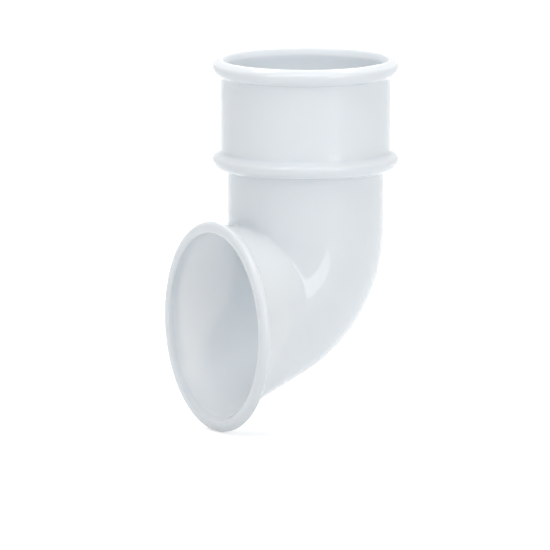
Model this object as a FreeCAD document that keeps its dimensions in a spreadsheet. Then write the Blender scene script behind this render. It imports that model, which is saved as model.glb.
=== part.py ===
import FreeCAD, Part
import math
import os

import Sketcher

# Downpipe shoe, moulded in one piece. Millimetres and degrees.
# +Z runs up the downpipe, the mouth faces -Y, and the origin is on the pipe's axis at its seat.

NODE = "downpipe_shoe"

# Driving sizes: alias, value, what it is.
SIZES = [
    ("pipe_diameter", "68", "outside of the downpipe and of the shoe's own body"),
    ("wall", "2.5", "wall of the moulding"),
    ("socket_gap", "0.5", "clearance round the pipe in the socket"),
    ("socket_depth", "43.6", "seat to rim"),
    ("lead_in_width", "1.6", "how far the lead-in opens the socket at the rim"),
    ("lead_in_height", "3", "height of the lead-in"),
    ("bead_reach", "3.4", "how far both beads stand out from the socket"),
    ("bead_crest_radius", "2", "round of both beads' upper edge"),
    ("rim_bead_drop", "3.2", "rim down to the widest line of its bead"),
    ("rim_bead_under", "4.3", "widest line of the rim bead down to the socket's side"),
    ("foot_bead_over", "3.2", "widest line of the foot bead up to the socket's side"),
    ("foot_bead_under", "4.3", "round of the foot bead's underside"),
    ("foot_slope", "0.3", "drop of the underside from the foot bead in to the body"),
    ("body_drop", "30.2", "seat to the start of the bend"),
    ("throat_radius", "2.4", "radius of the bend's throat"),
    ("bend_turn", "65.5", "angle that the bend turns through"),
    ("shoulder_reach", "5", "pipe axis to where the neck's cone starts"),
    ("shoulder_drop", "22.3", "start of the bend down to the middle of the neck's cone where it starts"),
    ("shoulder_inset", "4.9", "how far inside the body the neck's cone starts"),
    ("neck_run", "9.5", "front of the body to the middle of the lip"),
    ("neck_growth", "6.4", "how far the neck's cone grows past the body by the lip"),
    ("neck_lift", "2.3", "how far the neck's cone sits above the middle of the lip"),
    ("heel_run_inset", "2.4", "how far the heel run stays inside the neck at the lip"),
    ("mouth_rise", "39.15", "line of the heel up to the middle of the lip"),
    ("mouth_inset", "0.9", "how far the opening at the front of the lip is inside the neck"),
    ("mouth_round", "2.2", "round of the opening's edge"),
    ("lip_band", "3.1", "neck out to the middle of the lip's round edge"),
    ("lip_radius", "2.3", "half-round edge of the lip"),
]

LAYOUT_NAME = "sizes"

# Distance within which two places count as one.
NEAR = 0.01


class Size:
    """A number together with the expression that keeps it bound to the sheet."""

    def __init__(self, value, text):
        self.value = value
        self.text = text

    def __add__(self, other):
        return Size(self.value + other.value, "(%s + %s)" % (self.text, other.text))

    def __sub__(self, other):
        return Size(self.value - other.value, "(%s - %s)" % (self.text, other.text))

    def __mul__(self, other):
        return Size(self.value * other.value, "(%s * %s)" % (self.text, other.text))

    def __truediv__(self, other):
        return Size(self.value / other.value, "(%s / %s)" % (self.text, other.text))

    def __neg__(self):
        return Size(-self.value, "(-%s)" % self.text)


def number(value):
    return Size(value, repr(value))


def sine(angle):
    return Size(math.sin(math.radians(angle.value)), "sin(%s * 1 deg)" % angle.text)


def cosine(angle):
    return Size(math.cos(math.radians(angle.value)), "cos(%s * 1 deg)" % angle.text)


def make_sheet(doc):
    """Write the driving sizes to the sheet and return them by name."""
    sheet = doc.addObject("Spreadsheet::Sheet", LAYOUT_NAME)
    sizes = {}
    for row, (alias, value, meaning) in enumerate(SIZES, start=1):
        sheet.set("A%d" % row, meaning)
        sheet.set("B%d" % row, value)
        sheet.setAlias("B%d" % row, alias)
        sizes[alias] = Size(float(value), "%s.%s" % (LAYOUT_NAME, alias))
    doc.recompute()
    return sizes


def new_sketch(body, name, role, base=None, turn=None):
    """Sketch on an origin plane of the body, moved by base and turned about its own X axis."""
    sketch = body.newObject("Sketcher::SketchObject", name)
    plane = next(item for item in body.Origin.OriginFeatures if item.Role == role)
    sketch.AttachmentSupport = [(plane, "")]
    sketch.MapMode = "FlatFace"
    rotation = FreeCAD.Rotation(FreeCAD.Vector(1, 0, 0), turn.value if turn else 0.0)
    sketch.AttachmentOffset = FreeCAD.Placement(FreeCAD.Vector(), rotation)
    for axis, size in (base or {}).items():
        sketch.setExpression("AttachmentOffset.Base.%s" % axis, size.text)
    if turn:
        sketch.setExpression("AttachmentOffset.Rotation.Angle", "%s * 1 deg" % turn.text)
    return sketch


def bind(sketch, constraint, size):
    index = sketch.addConstraint(constraint)
    sketch.setExpression("Constraints[%d]" % index, size.text)


def pin(sketch, edge, vertex, x, y):
    """Hold a vertex at x, y from the sketch's origin; None leaves it on that axis."""
    if x is None:
        sketch.addConstraint(Sketcher.Constraint("PointOnObject", edge, vertex, -2))
    else:
        bind(sketch, Sketcher.Constraint("DistanceX", -1, 1, edge, vertex, x.value), x)
    if y is None:
        sketch.addConstraint(Sketcher.Constraint("PointOnObject", edge, vertex, -1))
    else:
        bind(sketch, Sketcher.Constraint("DistanceY", -1, 1, edge, vertex, y.value), y)


def place(corner):
    x, y = corner
    return FreeCAD.Vector(x.value if x else 0.0, y.value if y else 0.0, 0)


def arc_between(start, end, centre):
    """Anticlockwise arc of less than half a turn."""
    middle = (start - centre) + (end - centre)
    middle.Length = start.distanceToPoint(centre)
    return Part.Arc(start, centre + middle, end)


def draw_outline(sketch, corners, centres):
    """Closed anticlockwise outline. centres gives the centre of the arc that follows a corner."""
    count = len(corners)
    for index, corner in enumerate(corners):
        start = place(corner)
        end = place(corners[(index + 1) % count])
        if index in centres:
            sketch.addGeometry(arc_between(start, end, place(centres[index])), False)
        else:
            sketch.addGeometry(Part.LineSegment(start, end), False)
    for index, corner in enumerate(corners):
        before = (index - 1) % count
        sketch.addConstraint(Sketcher.Constraint("Coincident", before, 2, index, 1))
        pin(sketch, index, 1, *corner)
    for index, (_, level) in centres.items():
        hold_level(sketch, index, level)


def hold_level(sketch, arc, level):
    """Hold an arc's centre at a level above the sketch's X axis; None keeps it on that axis."""
    if level is None:
        sketch.addConstraint(Sketcher.Constraint("PointOnObject", arc, 3, -1))
    else:
        bind(sketch, Sketcher.Constraint("DistanceY", -1, 1, arc, 3, level.value), level)


def circle_sketch(body, name, role, centre, radius, base, turn=None):
    """One circle whose centre is on the sketch's own Y axis, or at its origin for None."""
    sketch = new_sketch(body, name, role, base, turn)
    middle = place((None, centre))
    circle = sketch.addGeometry(Part.Circle(middle, FreeCAD.Vector(0, 0, 1), radius.value), False)
    pin(sketch, circle, 3, None, centre)
    bind(sketch, Sketcher.Constraint("Radius", circle, radius.value), radius)
    return sketch


def revolve(body, kind, name, sketch, axis, turn=None, backwards=False):
    feature = body.newObject(kind, name)
    feature.Profile = sketch
    feature.ReferenceAxis = (sketch, [axis])
    feature.Reversed = backwards
    feature.Angle = turn.value if turn else 360.0
    if turn:
        feature.setExpression("Angle", turn.text)
    return feature


def loft(body, kind, name, first, last):
    feature = body.newObject(kind, name)
    feature.Profile = first
    feature.Sections = [last]
    feature.Ruled = True
    # Merging the faces that it leaves can break the crease when a size changes.
    feature.Refine = False
    return feature


class Shoe:
    """The shoe's body and the places that its outside and its hollow share."""

    def __init__(self, doc):
        self.size = make_sheet(doc)
        self.body = doc.addObject("PartDesign::Body", NODE)
        size = self.size
        self.body_radius = size["pipe_diameter"] / number(2.0)
        self.socket_bore = self.body_radius + size["socket_gap"]
        self.socket_radius = self.socket_bore + size["wall"]
        self.bead_radius = self.socket_radius + size["bead_reach"]
        self.bend_radius = self.body_radius + size["throat_radius"]
        self.pivot = {"y": -self.bend_radius, "z": -size["body_drop"]}
        self.neck_radius = self.body_radius + size["neck_growth"]
        self.mouth_bore = self.neck_radius - size["mouth_inset"]
        self.mouth_reach = self.body_radius + size["neck_run"]
        self.mouth_drop = self.heel_depth() - size["mouth_rise"]
        self.lip_back = {"y": -self.mouth_drop, "z": self.mouth_reach - size["lip_radius"]}
        self.lip_front = {"y": -self.mouth_drop, "z": self.mouth_reach + size["lip_radius"]}

    def heel_depth(self):
        """How far below the seat the straight line on from the heel meets the lip's back."""
        size = self.size
        turn = size["bend_turn"]
        heel_radius = self.bend_radius + self.body_radius
        ahead = (self.mouth_reach - size["lip_radius"] - self.bend_radius) * cosine(turn)
        return size["body_drop"] + (heel_radius + ahead) / sine(turn)

    def crest(self, level):
        """Upper end of a bead's round, an eighth of a turn above its widest line."""
        radius = self.size["bead_crest_radius"]
        eighth = number(45.0)
        x = self.bead_radius - radius + radius * cosine(eighth)
        rise = radius * sine(eighth)
        return (x, level + rise if level else rise)

    def socket_outside(self):
        """Socket, its two beads and the body down to the bend, as one turned profile."""
        size = self.size
        rim = size["socket_depth"]
        rim_bead = rim - size["rim_bead_drop"]
        reach = size["bead_reach"]
        under = size["rim_bead_under"]
        under_radius = (reach * reach + under * under) / (reach + reach)
        foot_under = size["foot_bead_under"]
        foot_inner = self.bead_radius - foot_under
        crest_centre = self.bead_radius - size["bead_crest_radius"]
        corners = [
            (None, -size["body_drop"]),
            (self.body_radius, -size["body_drop"]),
            (self.body_radius, -(foot_under + size["foot_slope"])),
            (foot_inner, -foot_under),
            (self.bead_radius, None),
            self.crest(None),
            (self.socket_radius, size["foot_bead_over"]),
            (self.socket_radius, rim_bead - under),
            (self.bead_radius, rim_bead),
            self.crest(rim_bead),
            (self.socket_radius, rim),
            (None, rim),
        ]
        centres = {
            3: (foot_inner, None),
            4: (crest_centre, None),
            7: (self.bead_radius - under_radius, rim_bead),
            8: (crest_centre, rim_bead),
        }
        sketch = new_sketch(self.body, "socket_profile", "XZ_Plane")
        draw_outline(sketch, corners, centres)
        return revolve(self.body, "PartDesign::Revolution", "socket_and_body", sketch, "V_Axis")

    def socket_hollow(self):
        """Lead-in, socket bore, the seat that stops the pipe, and the bore below it."""
        size = self.size
        rim = size["socket_depth"]
        bore = self.body_radius - size["wall"]
        corners = [
            (None, -size["body_drop"]),
            (bore, -size["body_drop"]),
            (bore, None),
            (self.socket_bore, None),
            (self.socket_bore, rim - size["lead_in_height"]),
            (self.socket_bore + size["lead_in_width"], rim),
            (None, rim),
        ]
        sketch = new_sketch(self.body, "socket_hollow_profile", "XZ_Plane")
        draw_outline(sketch, corners, {})
        return revolve(self.body, "PartDesign::Groove", "socket_hollow", sketch, "V_Axis")

    def bend(self, kind, name, radius):
        """Swept bend: the body's circle turned about a line just ahead of the throat."""
        sketch = circle_sketch(self.body, name + "_section", "XY_Plane", self.bend_radius, radius,
                               self.pivot)
        return revolve(self.body, kind, name, sketch, "H_Axis", self.size["bend_turn"], True)

    def heel_run(self, kind, name, inset):
        """Run from the end of the bend to the lip, whose underside goes straight on from the heel."""
        size = self.size
        facing = number(180.0) - size["bend_turn"]
        start = circle_sketch(self.body, name + "_start", "XY_Plane", -self.bend_radius,
                              self.body_radius - inset, self.pivot, facing)
        radius = self.neck_radius - size["heel_run_inset"]
        end = circle_sketch(self.body, name + "_end", "XZ_Plane", radius - size["mouth_rise"],
                            radius - inset, self.lip_back)
        return loft(self.body, kind, name, start, end)

    def neck_start(self, name, inset):
        """Back end of the neck's cone, inside the bend."""
        size = self.size
        middle = -(size["body_drop"] + size["shoulder_drop"])
        radius = self.body_radius - size["shoulder_inset"]
        return circle_sketch(self.body, name + "_start", "XZ_Plane", middle, radius - inset,
                             {"z": size["shoulder_reach"]})

    def neck(self):
        """Cone that opens to the lip and creases into the pipe above."""
        start = self.neck_start("neck", number(0.0))
        end = circle_sketch(self.body, "neck_end", "XZ_Plane", self.size["neck_lift"], self.neck_radius,
                            self.lip_back)
        return loft(self.body, "PartDesign::AdditiveLoft", "neck", start, end)

    def mouth_hollow(self):
        """Hollow of the neck, out through the lip."""
        start = self.neck_start("mouth_hollow", self.size["wall"])
        end = circle_sketch(self.body, "mouth_hollow_end", "XZ_Plane", None, self.mouth_bore,
                            self.lip_front)
        return loft(self.body, "PartDesign::SubtractiveLoft", "mouth_hollow", start, end)

    def lip(self):
        """Disc with a half-round edge; the hollow then leaves it as a ring."""
        size = self.size
        depth = size["lip_radius"]
        ring = self.neck_radius + size["lip_band"]
        corners = [(-depth, None), (depth, None), (depth, ring), (None, ring + depth), (-depth, ring)]
        centres = {2: (None, ring), 3: (None, ring)}
        middle = {"x": -self.mouth_reach, "y": -self.mouth_drop}
        sketch = new_sketch(self.body, "lip_profile", "YZ_Plane", middle)
        draw_outline(sketch, corners, centres)
        return revolve(self.body, "PartDesign::Revolution", "lip", sketch, "H_Axis")

    def mouth_edge(self, solid):
        """Round the edge where the hollow leaves the front of the lip."""
        edge_round = self.size["mouth_round"]
        front = -self.lip_front["z"].value
        feature = self.body.newObject("PartDesign::Fillet", "mouth_edge")
        feature.Base = (solid, ring_edges(solid.Shape, front, self.mouth_bore.value))
        feature.Radius = edge_round.value
        feature.setExpression("Radius", edge_round.text)
        return feature


def ring_edges(shape, y, radius):
    """Names of the round edges of one radius that lie in the plane at y."""
    names = []
    for index, edge in enumerate(shape.Edges, start=1):
        box = edge.BoundBox
        flat = abs(box.YMin - y) < NEAR and abs(box.YMax - y) < NEAR
        if flat and isinstance(edge.Curve, Part.Circle) and abs(edge.Curve.Radius - radius) < NEAR:
            names.append("Edge%d" % index)
    return names


def build(doc):
    """Outside first, then the hollow, with the same forms set in by the wall."""
    shoe = Shoe(doc)
    wall = shoe.size["wall"]
    shoe.socket_outside()
    shoe.bend("PartDesign::Revolution", "bend", shoe.body_radius)
    shoe.heel_run("PartDesign::AdditiveLoft", "heel_run", number(0.0))
    shoe.neck()
    shoe.lip()
    shoe.socket_hollow()
    shoe.bend("PartDesign::Groove", "bend_hollow", shoe.body_radius - wall)
    shoe.heel_run("PartDesign::SubtractiveLoft", "heel_run_hollow", wall)
    hollow = shoe.mouth_hollow()
    doc.recompute()
    shoe.mouth_edge(hollow)
    doc.recompute()
    return shoe.body


def check(doc, body):
    """Stop before anything is written if a feature failed or the solid is not one valid piece."""
    for item in doc.Objects:
        if "Invalid" in item.State or "Error" in item.State:
            raise RuntimeError("%s failed: %s" % (item.Name, item.State))
    shape = body.Shape
    if shape.isNull() or not shape.isValid() or len(shape.Solids) != 1:
        raise RuntimeError("%s is not one valid solid" % body.Label)


def main():
    doc = FreeCAD.newDocument("shoe")
    body = build(doc)
    check(doc, body)
    os.makedirs("parts", exist_ok=True)
    body.Shape.exportStep("parts/%s.step" % body.Label)
    print("volume %.0f mm3" % body.Shape.Volume)


main()
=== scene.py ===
import math

import bpy
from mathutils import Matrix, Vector


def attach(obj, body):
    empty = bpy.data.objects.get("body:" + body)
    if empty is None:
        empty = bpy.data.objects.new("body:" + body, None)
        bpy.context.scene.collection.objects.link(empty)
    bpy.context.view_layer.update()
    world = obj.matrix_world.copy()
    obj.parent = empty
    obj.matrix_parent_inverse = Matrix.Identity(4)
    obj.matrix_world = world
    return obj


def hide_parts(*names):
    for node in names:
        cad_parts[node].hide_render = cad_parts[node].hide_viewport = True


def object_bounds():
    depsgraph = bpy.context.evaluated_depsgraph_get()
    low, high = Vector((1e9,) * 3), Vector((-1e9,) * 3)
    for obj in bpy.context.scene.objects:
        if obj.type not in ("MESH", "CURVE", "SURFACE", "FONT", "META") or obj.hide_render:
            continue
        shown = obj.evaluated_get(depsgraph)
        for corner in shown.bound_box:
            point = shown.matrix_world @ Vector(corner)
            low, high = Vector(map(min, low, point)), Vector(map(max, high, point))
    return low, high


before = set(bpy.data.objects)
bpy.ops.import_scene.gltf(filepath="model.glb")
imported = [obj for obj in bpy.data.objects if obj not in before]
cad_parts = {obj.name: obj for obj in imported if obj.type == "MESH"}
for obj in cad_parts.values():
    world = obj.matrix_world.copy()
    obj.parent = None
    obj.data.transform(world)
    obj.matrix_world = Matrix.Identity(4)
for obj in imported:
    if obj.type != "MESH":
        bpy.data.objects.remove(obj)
cad_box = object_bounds()

# Sizes are in millimetres, as on the drawing, and MM turns them into metres.
# A ring is placed by its centre (ahead, up), its slope in degrees and its radius:
# ahead is measured from the pipe's axis towards the mouth, up from the seat in the socket.
MM = 0.001
UPRIGHT = 90.0

# Pipe and socket
PIPE = 34.0
WALL = 2.5
BORE = PIPE - WALL
SOCKET = 37.0
SOCKET_BORE = 34.5
SEAT_UP = 0.0
RIM = 43.6
LEAD_IN_WIDTH = 1.6
LEAD_IN_HEIGHT = 3.0
SOCKET_RINGS_UP = (30.0, 24.0, 18.0, 12.0, 7.0)
SOCKET_BORE_RINGS_UP = (10.0, 20.0, 30.0)
BORE_RING_UP = -6.0
PIPE_RING_UP = -8.0

# Beads, each a crest round and a flank under it, with the angles where they start and end
BEAD = 40.4
CREST_ROUND = 2.0
RIM_BEAD_UP = 40.4
RIM_BEAD_UNDER = 4.3
RIM_CREST_FROM = 50.0
RIM_FLANK_FROM = -9.0
RIM_FLANK_SHORT_BY = 6.0
FOOT_BEAD_UP = 0.0
FOOT_BEAD_OVER = 3.2
FOOT_BEAD_UNDER = 4.3
FOOT_CREST_FROM = 48.0
FOOT_FLANK_FROM = -11.0
FOOT_FLANK_TO = -86.0

# Moulded corners of the turned profile, as steps (outwards, upwards) from the sharp corner
RIM_OUTER_EDGE = ((-0.38, 0.0), (-0.1, -0.06), (0.15, -0.2), (1.4, -0.98))
RIM_BEAD_ROOT = ((0.28, 0.1), (0.09, -0.3), (0.0, -0.9))
FOOT_BEAD_TOP = ((0.0, 0.8), (0.1, 0.22), (0.38, -0.24), (1.6, -1.0))
FOOT_BEAD_ROOT = ((1.3, -0.12), (0.6, -0.32), (0.14, -0.7), (0.0, -1.4))
SEAT_EDGE = ((0.0, -0.6), (0.15, -0.15), (0.6, 0.0))
SEAT_ROOT = ((-0.6, 0.0), (-0.15, 0.15), (0.0, 0.6))
LEAD_IN_FOOT = ((0.0, -1.0), (0.0, 0.0), (0.12, 0.45))
RIM_INNER_EDGE = ((-0.15, -0.5), (0.04, -0.16), (0.26, -0.02))

# Bend and the heel run that carries it on to the lip
BEND_START = -30.2
BEND_RADIUS = 36.4
BEND_TURN = 65.5
HEEL_RUN = 38.0
HEEL_RUN_UP = -71.75
STEEP = 60.0

# Neck, a cone that comes out of the bend at its shoulder, and the crease between the two
SHOULDER_AHEAD = 5.0
SHOULDER_UP = -52.5
SHOULDER = 29.1
NECK = 40.4
NECK_UP = -68.3
CROWN_UP = -66.0
CREASE_SLOPE = 58.4
CREASE_TOP_UP = -27.0
INNER_CREASE_TOP_UP = -29.3
FAN_START_UP = -10.0

# Rolled lip and the opening of the mouth
LIP_AHEAD = 43.5
LIP_UP = -70.6
LIP_RING = 43.5
LIP_ROUND = 2.3
LIP_FACE = 42.5
LIP_BACK = LIP_AHEAD - LIP_ROUND
LIP_FRONT = LIP_AHEAD + LIP_ROUND
LIP_ROOT = (LIP_BACK + 0.02, LIP_RING - 0.6)
MOUTH_BORE = 40.6
MOUTH_ROUND = 1.2
MOUTH_ROUND_TO = -70.0
MOUTH_FLARE = 0.37
OUTSIDE_END = LIP_BACK - 0.9
INSIDE_START = LIP_AHEAD + 0.1

# Forms that the skin is laid on run on past its ends
FORM_TOP_UP = 12.0
FORM_PAST = 9.0
FORM_HEEL_DROP = 2.85
FORM_HEEL_GROWTH = 1.25

# Counts of the mesh
AROUND = 216
AROUND_FORM = 360
BEND_STEPS = 44
BEND_FORM_STEPS = 96
NECK_STEPS = 32
CREST_STEPS = 6
FLANK_STEPS = 8
LIP_STEPS = 18
MOUTH_STEPS = 9
OUTSIDE_EASINGS = 3
INSIDE_EASINGS = 6

# Where the skins are bridged, and how near two points are one
RIM_GAP_OVER = 30.0
LIP_GAPS_PART_AT = LIP_BACK + 0.5
SAME_POINT = 0.002

# Studio, in metres and degrees
FLOOR_SIZE = 4.0
LAMP_DISTANCE = 1.2
LAMP_TARGET = Vector((0.0, -5.0, -30.0)) * MM
CAMERA_AZIMUTH = 61.5
CAMERA_ELEVATION = 8.3
CAMERA_DISTANCE = 9.0
CAMERA_TARGET = Vector((-6.3, -11.7, -51.1)) * MM


# Rings

def point(ahead, up):
    return Vector((0.0, -ahead * MM, up * MM))


def new_ring(name, station, around):
    """A new object with one ring, in edit mode, with the ring selected."""
    (ahead, up), slope, radius = station
    bpy.ops.object.select_all(action="DESELECT")
    bpy.ops.mesh.primitive_circle_add(vertices=around, radius=radius * MM)
    piece = bpy.context.object
    piece.name = name
    bpy.ops.object.mode_set(mode="EDIT")
    bpy.ops.mesh.select_all(action="SELECT")
    turn_ring(slope, point(0.0, 0.0))
    bpy.ops.transform.translate(value=point(ahead, up))
    return piece


def turn_ring(slope, centre):
    """Tip the selected ring so that its front goes up and its back goes down."""
    if slope:
        bpy.ops.transform.rotate(value=math.radians(slope), orient_axis="X", center_override=centre)


def carry_ring(last, station):
    """Extrude the selected ring on to the next station."""
    (ahead, up), slope, radius = station
    (last_ahead, last_up), last_slope, last_radius = last
    bpy.ops.mesh.extrude_region_move()
    turn_ring(slope - last_slope, point(last_ahead, last_up))
    bpy.ops.transform.translate(value=point(ahead - last_ahead, up - last_up))
    grow = radius / last_radius
    bpy.ops.transform.resize(value=(grow, grow, grow), center_override=point(ahead, up))


def tube(name, stations, around=AROUND):
    """Rings carried from station to station; the object is left in object mode."""
    piece = new_ring(name, stations[0], around)
    for last, station in zip(stations, stations[1:]):
        carry_ring(last, station)
    bpy.ops.object.mode_set(mode="OBJECT")
    return piece


def turned(profile):
    """Stations of a shape turned about the pipe's axis, from (radius, up)."""
    return [((0.0, up), 0.0, radius) for radius, up in profile]


def arc(centre, radius, first, last, steps):
    """Points of a profile's round, from angle first to angle last."""
    angles = [math.radians(first + (last - first) * step / steps) for step in range(steps + 1)]
    return [(centre[0] + radius * math.cos(a), centre[1] + radius * math.sin(a)) for a in angles]


def eased(radius, up, steps):
    """Points of a moulded corner, by their steps from the sharp corner at (radius, up)."""
    return [(radius + outwards, up + upwards) for outwards, upwards in steps]


# Forms that the skin is laid on

def bend_form(name, radius, run_radius):
    """Pipe and bend of one radius, then the heel run, which widens to its own."""
    stations = turned([(radius, FORM_TOP_UP), (radius, BEND_START)])
    for step in range(1, BEND_FORM_STEPS + 1):
        slope = BEND_TURN * step / BEND_FORM_STEPS
        a = math.radians(slope)
        centre = (BEND_RADIUS * (1.0 - math.cos(a)), BEND_START - BEND_RADIUS * math.sin(a))
        stations.append((centre, slope, radius))
    stations.append(((LIP_BACK, HEEL_RUN_UP), UPRIGHT, run_radius))
    end = (LIP_BACK + FORM_PAST, HEEL_RUN_UP - FORM_HEEL_DROP)
    stations.append((end, UPRIGHT, run_radius + FORM_HEEL_GROWTH))
    form = tube(name, stations, AROUND_FORM)
    face_outwards(form)
    return form


def face_outwards(form):
    bpy.context.view_layer.objects.active = form
    bpy.ops.object.mode_set(mode="EDIT")
    bpy.ops.mesh.select_all(action="SELECT")
    bpy.ops.mesh.normals_make_consistent(inside=False)
    bpy.ops.object.mode_set(mode="OBJECT")


def cone_form(name, first, last):
    """Closed cone through two upright rings, run on past the second."""
    (ahead_a, up_a, radius_a), (ahead_b, up_b, radius_b) = first, last
    on = (ahead_b + FORM_PAST - ahead_a) / (ahead_b - ahead_a)
    end = (ahead_b + FORM_PAST, up_a + (up_b - up_a) * on)
    end_radius = radius_a + (radius_b - radius_a) * on
    form = tube(name, [((ahead_a, up_a), UPRIGHT, radius_a), (end, UPRIGHT, end_radius)], AROUND_FORM)
    bpy.ops.object.mode_set(mode="EDIT")
    bpy.ops.mesh.select_all(action="DESELECT")
    bpy.ops.mesh.select_non_manifold()
    bpy.ops.mesh.edge_face_add()
    bpy.ops.object.mode_set(mode="OBJECT")
    face_outwards(form)
    return form


# Skin of the bend and the neck

def heel_point(hinge, slope, radius):
    """Where a plane that slopes back from the hinge meets the heel of a tube of that radius.

    A plane that isn't steep can meet the straight pipe. The others meet the bend, or the
    straight run that goes on from the bend's end.
    """
    a = math.radians(slope)
    back = Vector((-math.cos(a), -math.sin(a)))
    start = Vector(hinge)
    if slope < STEEP:
        straight = start + back * ((start.x + radius) / math.cos(a))
        if straight.y > BEND_START:
            return straight
    pivot = Vector((BEND_RADIUS, BEND_START))
    heel = BEND_RADIUS + radius
    along = back.dot(start - pivot)
    aside_squared = (start - pivot).length_squared - along * along
    swept = start + back * (math.sqrt(heel * heel - aside_squared) - along)
    turn = math.radians(BEND_TURN)
    end = pivot - heel * Vector((math.cos(turn), math.sin(turn)))
    run = Vector((math.sin(turn), -math.cos(turn)))
    if (swept - end).dot(run) <= 0.0:
        return swept
    gap = end - start
    reach = (gap.x * run.y - gap.y * run.x) / (back.x * run.y - back.y * run.x)
    return start + back * reach


def fan(radius, crease_top_up, last_ahead):
    """Rings that fan round from the pipe to the mouth, with the crease between the two fans.

    The crease starts at its top on the front of the pipe, and both fans' hinges lie on its line.
    """
    rise = math.tan(math.radians(CREASE_SLOPE))
    stations = []
    hinge = (radius + (FAN_START_UP - crease_top_up) / rise, FAN_START_UP)
    for step in range(BEND_STEPS + 1):
        slope = CREASE_SLOPE * step / BEND_STEPS
        front_up = FAN_START_UP - (hinge[0] - radius) * math.tan(math.radians(slope))
        stations.append(spanning(Vector((radius, front_up)), heel_point(hinge, slope, radius), slope))
    hinge = (last_ahead, crease_top_up + (last_ahead - radius) * rise)
    for step in range(1, NECK_STEPS + 1):
        slope = CREASE_SLOPE + (UPRIGHT - CREASE_SLOPE) * step / NECK_STEPS
        crown_ahead = last_ahead - (hinge[1] - crease_top_up) / math.tan(math.radians(slope))
        crown = Vector((crown_ahead, crease_top_up))
        stations.append(spanning(crown, heel_point(hinge, slope, radius), slope))
    return stations


def spanning(front, back, slope):
    """Station of the ring whose highest and lowest points are front and back."""
    middle = (front + back) / 2.0
    return ((middle.x, middle.y), slope, (front - back).length / 2.0)


def wrap_on(piece, form, mode, points):
    """Lay those points of the piece on the form."""
    group = piece.vertex_groups.new(name="laid")
    group.add(points, 1.0, "REPLACE")
    wrap = piece.modifiers.new("wrap", "SHRINKWRAP")
    wrap.target = form
    wrap.wrap_method = "NEAREST_SURFACEPOINT"
    wrap.wrap_mode = mode
    wrap.vertex_group = group.name
    bpy.context.view_layer.objects.active = piece
    bpy.ops.object.modifier_apply(modifier=wrap.name)
    piece.vertex_groups.clear()


def ring_points(first, count):
    """The points of so many rings."""
    return list(range(first * AROUND, (first + count) * AROUND))


def lay_on(piece, bend, cone, bend_points, neck_points):
    """Lay the rings on the outside of the bend and the cone together.

    The upper part of the neck starts from the cone and the rest from the bend. Nothing behind
    the cone's start can be inside it, so only what is ahead of that is brought out on to it.
    """
    crown = [index for index in neck_points if piece.data.vertices[index].co.z > CROWN_UP * MM]
    rest = bend_points + sorted(set(neck_points) - set(crown))
    wrap_on(piece, cone, "ON_SURFACE", crown)
    wrap_on(piece, bend, "OUTSIDE", crown)
    wrap_on(piece, bend, "ON_SURFACE", rest)
    ahead = [index for index in rest if -piece.data.vertices[index].co.y > SHOULDER_AHEAD * MM]
    wrap_on(piece, cone, "OUTSIDE", ahead)
    bpy.data.objects.remove(bend)
    bpy.data.objects.remove(cone)


def soften_crease(piece, first, last, repeat):
    """Ease the rings from first to last a little, so that the crease has the round of a moulding."""
    bpy.ops.object.select_all(action="DESELECT")
    piece.select_set(True)
    bpy.context.view_layer.objects.active = piece
    bpy.ops.object.mode_set(mode="EDIT")
    bpy.ops.mesh.select_mode(type="VERT")
    bpy.ops.mesh.select_all(action="DESELECT")
    bpy.ops.object.mode_set(mode="OBJECT")
    for vertex in piece.data.vertices[first * AROUND:(last + 1) * AROUND]:
        vertex.select = True
    bpy.ops.object.mode_set(mode="EDIT")
    bpy.ops.mesh.vertices_smooth(factor=0.5, repeat=repeat)
    bpy.ops.object.mode_set(mode="OBJECT")


def outside_skin():
    """Rim, socket, beads and body, then the bend and the neck, down to the back of the lip."""
    stand = BEAD - SOCKET
    flank = (stand ** 2 + RIM_BEAD_UNDER ** 2) / (2.0 * stand)
    flank_to = RIM_FLANK_SHORT_BY - math.degrees(math.asin(RIM_BEAD_UNDER / flank))
    profile = eased(SOCKET, RIM, RIM_OUTER_EDGE)
    profile += arc((BEAD - CREST_ROUND, RIM_BEAD_UP), CREST_ROUND, RIM_CREST_FROM, 0.0, CREST_STEPS)
    profile += arc((BEAD - flank, RIM_BEAD_UP), flank, RIM_FLANK_FROM, flank_to, FLANK_STEPS)
    profile += eased(SOCKET, RIM_BEAD_UP - RIM_BEAD_UNDER, RIM_BEAD_ROOT)
    profile += [(SOCKET, up) for up in SOCKET_RINGS_UP]
    profile += eased(SOCKET, FOOT_BEAD_UP + FOOT_BEAD_OVER, FOOT_BEAD_TOP)
    profile += arc((BEAD - CREST_ROUND, FOOT_BEAD_UP), CREST_ROUND, FOOT_CREST_FROM, 0.0, CREST_STEPS)
    profile += arc((BEAD - FOOT_BEAD_UNDER, FOOT_BEAD_UP), FOOT_BEAD_UNDER,
                   FOOT_FLANK_FROM, FOOT_FLANK_TO, FLANK_STEPS)
    profile += eased(PIPE, FOOT_BEAD_UP - FOOT_BEAD_UNDER, FOOT_BEAD_ROOT)
    profile += [(PIPE, PIPE_RING_UP)]
    rings = fan(PIPE, CREASE_TOP_UP, OUTSIDE_END)
    stations = turned(profile) + rings
    skin = tube("shoe_outside", stations)
    first = len(profile)
    bend = bend_form("bend_form", PIPE, HEEL_RUN)
    cone = cone_form("neck_form", (SHOULDER_AHEAD, SHOULDER_UP, SHOULDER), (LIP_BACK, NECK_UP, NECK))
    lay_on(skin, bend, cone,
           ring_points(first, BEND_STEPS + 1), ring_points(first + BEND_STEPS + 1, NECK_STEPS))
    soften_crease(skin, first + 2, len(stations) - 2, OUTSIDE_EASINGS)
    return skin


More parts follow.
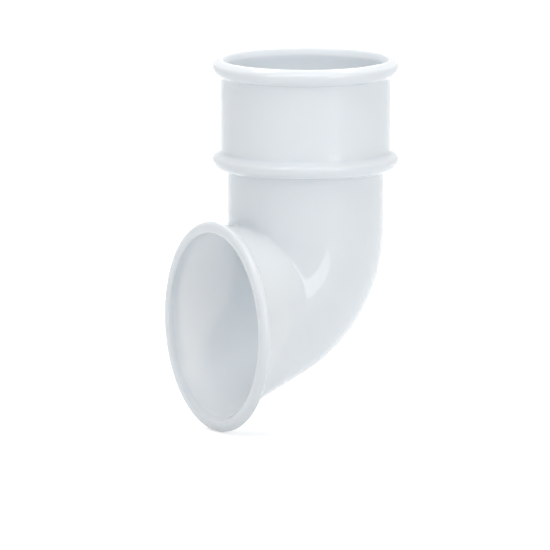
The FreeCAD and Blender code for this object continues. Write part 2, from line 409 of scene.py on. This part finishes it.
def inside_skin():
    """From the mouth back through the neck and the bend, up to the seat, the socket and its lead-in."""
    rings = fan(BORE, INNER_CREASE_TOP_UP, INSIDE_START)
    rings.reverse()
    profile = [(BORE, BORE_RING_UP)]
    profile += eased(BORE, SEAT_UP, SEAT_EDGE)
    profile += eased(SOCKET_BORE, SEAT_UP, SEAT_ROOT)
    profile += [(SOCKET_BORE, up) for up in SOCKET_BORE_RINGS_UP]
    profile += eased(SOCKET_BORE, RIM - LEAD_IN_HEIGHT, LEAD_IN_FOOT)
    profile += eased(SOCKET_BORE + LEAD_IN_WIDTH, RIM, RIM_INNER_EDGE)
    skin = tube("shoe_inside", rings + turned(profile))
    bend = bend_form("hollow_form", BORE, HEEL_RUN - WALL)
    cone = cone_form("mouth_form", (SHOULDER_AHEAD, SHOULDER_UP, SHOULDER - WALL),
                     (LIP_FRONT, LIP_UP, MOUTH_BORE + MOUTH_FLARE))
    lay_on(skin, bend, cone,
           ring_points(NECK_STEPS, BEND_STEPS + 1), ring_points(0, NECK_STEPS))
    soften_crease(skin, 2, len(rings) - 1, INSIDE_EASINGS)
    core_side = skin.data.attributes.new("core_side", "FLOAT", "POINT")
    for value in core_side.data:
        value.value = 1.0
    return skin


def lip_skin():
    """Rolled lip, from its root on the neck round to the edge of the opening, by (ahead, radius)."""
    roll = arc((LIP_AHEAD, LIP_RING), LIP_ROUND, 180.0, 0.0, LIP_STEPS)
    edge = arc((LIP_FRONT - MOUTH_ROUND, MOUTH_BORE + MOUTH_ROUND), MOUTH_ROUND,
               0.0, MOUTH_ROUND_TO, MOUTH_STEPS)
    profile = [LIP_ROOT] + roll + [(LIP_FRONT, LIP_FACE)] + edge
    return tube("shoe_lip", [((ahead, LIP_UP), UPRIGHT, radius) for ahead, radius in profile])


def close_gap(piece, near):
    """Bridge the two open rings whose edges lie where near says yes."""
    bpy.ops.object.mode_set(mode="EDIT")
    bpy.ops.mesh.select_mode(type="EDGE")
    bpy.ops.mesh.select_all(action="DESELECT")
    bpy.ops.mesh.select_non_manifold()
    bpy.ops.object.mode_set(mode="OBJECT")
    for edge in piece.data.edges:
        if edge.select:
            a, b = (piece.data.vertices[index].co for index in edge.vertices)
            edge.select = near((a + b) / 2.0)
    for vertex in piece.data.vertices:
        vertex.select = False
    bpy.ops.object.mode_set(mode="EDIT")
    bpy.ops.mesh.bridge_edge_loops()
    bpy.ops.object.mode_set(mode="OBJECT")


def downpipe_shoe():
    """The three skins joined into one moulded piece."""
    skins = [outside_skin(), lip_skin(), inside_skin()]
    bpy.ops.object.select_all(action="DESELECT")
    for skin in skins:
        skin.select_set(True)
    shoe = skins[0]
    bpy.context.view_layer.objects.active = shoe
    bpy.ops.object.join()
    shoe.name = "shoe_moulding"
    close_gap(shoe, lambda place: place.z > RIM_GAP_OVER * MM)
    close_gap(shoe, lambda place: -place.y < LIP_GAPS_PART_AT * MM)
    close_gap(shoe, lambda place: -place.y > LIP_GAPS_PART_AT * MM)
    bpy.ops.object.mode_set(mode="EDIT")
    bpy.ops.mesh.select_all(action="SELECT")
    bpy.ops.mesh.remove_doubles(threshold=SAME_POINT * MM)
    bpy.ops.mesh.normals_make_consistent(inside=False)
    bpy.ops.object.mode_set(mode="OBJECT")
    bpy.ops.object.shade_smooth()
    return shoe


# Finish

def noise(material, scale, detail):
    """Noise that stays with the piece, with about scale waves to the metre."""
    nodes = material.node_tree.nodes
    place = nodes.new("ShaderNodeTexCoord")
    texture = nodes.new("ShaderNodeTexNoise")
    texture.inputs["Scale"].default_value = scale
    texture.inputs["Detail"].default_value = detail
    material.node_tree.links.new(place.outputs["Object"], texture.inputs["Vector"])
    return texture.outputs["Fac"]


def white_upvc():
    """Glossy white moulded plastic, faintly cloudy and rippled, and duller inside, where the core was."""
    material = bpy.data.materials.new("white_upvc")
    material.use_nodes = True
    nodes = material.node_tree.nodes
    links = material.node_tree.links
    shader = nodes["Principled BSDF"]

    tint = nodes.new("ShaderNodeValToRGB")
    tint.color_ramp.elements[0].position = 0.3
    tint.color_ramp.elements[0].color = (0.775, 0.813, 0.84, 1.0)
    tint.color_ramp.elements[1].position = 0.7
    tint.color_ramp.elements[1].color = (0.795, 0.833, 0.86, 1.0)
    links.new(noise(material, scale=28.0, detail=3.0), tint.inputs["Fac"])
    links.new(tint.outputs["Color"], shader.inputs["Base Color"])

    gloss = nodes.new("ShaderNodeMapRange")
    gloss.inputs["To Min"].default_value = 0.03
    gloss.inputs["To Max"].default_value = 0.06
    links.new(noise(material, scale=90.0, detail=4.0), gloss.inputs["Value"])
    core_side = nodes.new("ShaderNodeAttribute")
    core_side.attribute_name = "core_side"
    dulled = nodes.new("ShaderNodeMapRange")
    dulled.inputs["To Max"].default_value = 0.42
    links.new(core_side.outputs["Fac"], dulled.inputs["Value"])
    links.new(gloss.outputs["Result"], dulled.inputs["To Min"])
    links.new(dulled.outputs["Result"], shader.inputs["Roughness"])

    ripple = nodes.new("ShaderNodeBump")
    ripple.inputs["Strength"].default_value = 0.05
    ripple.inputs["Distance"].default_value = 0.00008
    links.new(noise(material, scale=260.0, detail=2.0), ripple.inputs["Height"])
    links.new(ripple.outputs["Normal"], shader.inputs["Normal"])

    shader.inputs["IOR"].default_value = 1.54
    shader.inputs["Subsurface Weight"].default_value = 1.0
    shader.inputs["Subsurface Radius"].default_value = (1.0, 0.92, 0.9)
    shader.inputs["Subsurface Scale"].default_value = 0.0038
    return material


def seen_rays(tree):
    """1 for what the camera sees straight on, mirrored or through something, 0 for scattered light."""
    path = tree.nodes.new("ShaderNodeLightPath")
    seen = path.outputs["Is Camera Ray"]
    for kind in ("Is Glossy Ray", "Is Transmission Ray"):
        either = tree.nodes.new("ShaderNodeMath")
        either.operation = "MAXIMUM"
        tree.links.new(seen, either.inputs[0])
        tree.links.new(path.outputs[kind], either.inputs[1])
        seen = either.outputs["Value"]
    return seen


def pale_floor():
    """Pale matt floor that looks white and still takes the shoe's shadow."""
    material = bpy.data.materials.new("pale_floor")
    material.use_nodes = True
    nodes = material.node_tree.nodes
    links = material.node_tree.links
    shader = nodes["Principled BSDF"]
    shader.inputs["Base Color"].default_value = (0.77, 0.78, 0.79, 1.0)
    shader.inputs["Roughness"].default_value = 0.6
    glow = nodes.new("ShaderNodeEmission")
    glow.inputs["Color"].default_value = (1.0, 1.0, 1.0, 1.0)
    level = nodes.new("ShaderNodeMath")
    level.operation = "MULTIPLY"
    level.inputs[1].default_value = 0.5
    links.new(seen_rays(material.node_tree), level.inputs[0])
    links.new(level.outputs["Value"], glow.inputs["Strength"])
    both = nodes.new("ShaderNodeAddShader")
    links.new(shader.outputs["BSDF"], both.inputs[0])
    links.new(glow.outputs["Emission"], both.inputs[1])
    links.new(both.outputs["Shader"], nodes["Material Output"].inputs["Surface"])
    return material


# Studio

def studio_floor(lowest):
    bpy.ops.object.select_all(action="DESELECT")
    bpy.ops.mesh.primitive_plane_add(size=FLOOR_SIZE, location=(0.0, 0.0, lowest))
    floor = bpy.context.object
    floor.name = "studio_floor"
    floor.data.materials.append(pale_floor())


def around_shoe(azimuth, elevation, distance):
    """A place round the shoe, by the camera's own angles."""
    a = math.radians(azimuth)
    e = math.radians(elevation)
    return Vector((math.sin(a) * math.cos(e), -math.cos(a) * math.cos(e), math.sin(e))) * distance


def aim(thing, place, target):
    thing.location = place
    thing.rotation_euler = (target - place).to_track_quat("-Z", "Y").to_euler()


def softbox(name, azimuth, elevation, power, width, height):
    lamp = bpy.data.lights.new(name, "AREA")
    lamp.shape = "RECTANGLE"
    lamp.size = width
    lamp.size_y = height
    lamp.energy = power
    thing = bpy.data.objects.new(name, lamp)
    bpy.context.scene.collection.objects.link(thing)
    aim(thing, LAMP_TARGET + around_shoe(azimuth, elevation, LAMP_DISTANCE), LAMP_TARGET)


def white_world(strength):
    """White where it is seen, and of that strength as light."""
    world = bpy.data.worlds.new("studio")
    bpy.context.scene.world = world
    world.use_nodes = True
    nodes = world.node_tree.nodes
    links = world.node_tree.links
    background = nodes["Background"]
    background.inputs["Color"].default_value = (1.0, 1.0, 1.0, 1.0)
    level = nodes.new("ShaderNodeMapRange")
    level.inputs["To Min"].default_value = strength
    level.inputs["To Max"].default_value = 1.0
    links.new(seen_rays(world.node_tree), level.inputs["Value"])
    links.new(level.outputs["Result"], background.inputs["Strength"])


def photo_camera():
    """Camera with a long lens, at the angle from which the shoe is shown."""
    lens = bpy.data.cameras.new("photo_camera")
    lens.sensor_width = 36.0
    lens.lens = 1357.2
    lens.clip_end = 50.0
    camera = bpy.data.objects.new("photo_camera", lens)
    bpy.context.scene.collection.objects.link(camera)
    away = around_shoe(CAMERA_AZIMUTH, CAMERA_ELEVATION, CAMERA_DISTANCE)
    aim(camera, CAMERA_TARGET + away, CAMERA_TARGET)
    bpy.context.scene.camera = camera


shoe = downpipe_shoe()
shoe.data.materials.clear()
shoe.data.materials.append(white_upvc())
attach(shoe, "root")
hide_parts("downpipe_shoe")

studio_floor(cad_box[0].z)
softbox("left_strip", azimuth=19.4, elevation=40.0, power=1.7, width=0.3, height=0.7)
softbox("right_strip", azimuth=101.0, elevation=21.0, power=2.9, width=0.38, height=1.12)
softbox("back_softbox", azimuth=241.5, elevation=48.0, power=6.8, width=0.8, height=0.8)
softbox("top_softbox", azimuth=61.5, elevation=78.0, power=4.6, width=0.8, height=0.8)
white_world(strength=0.45)
photo_camera()
bpy.context.scene.view_settings.view_transform = "Standard"
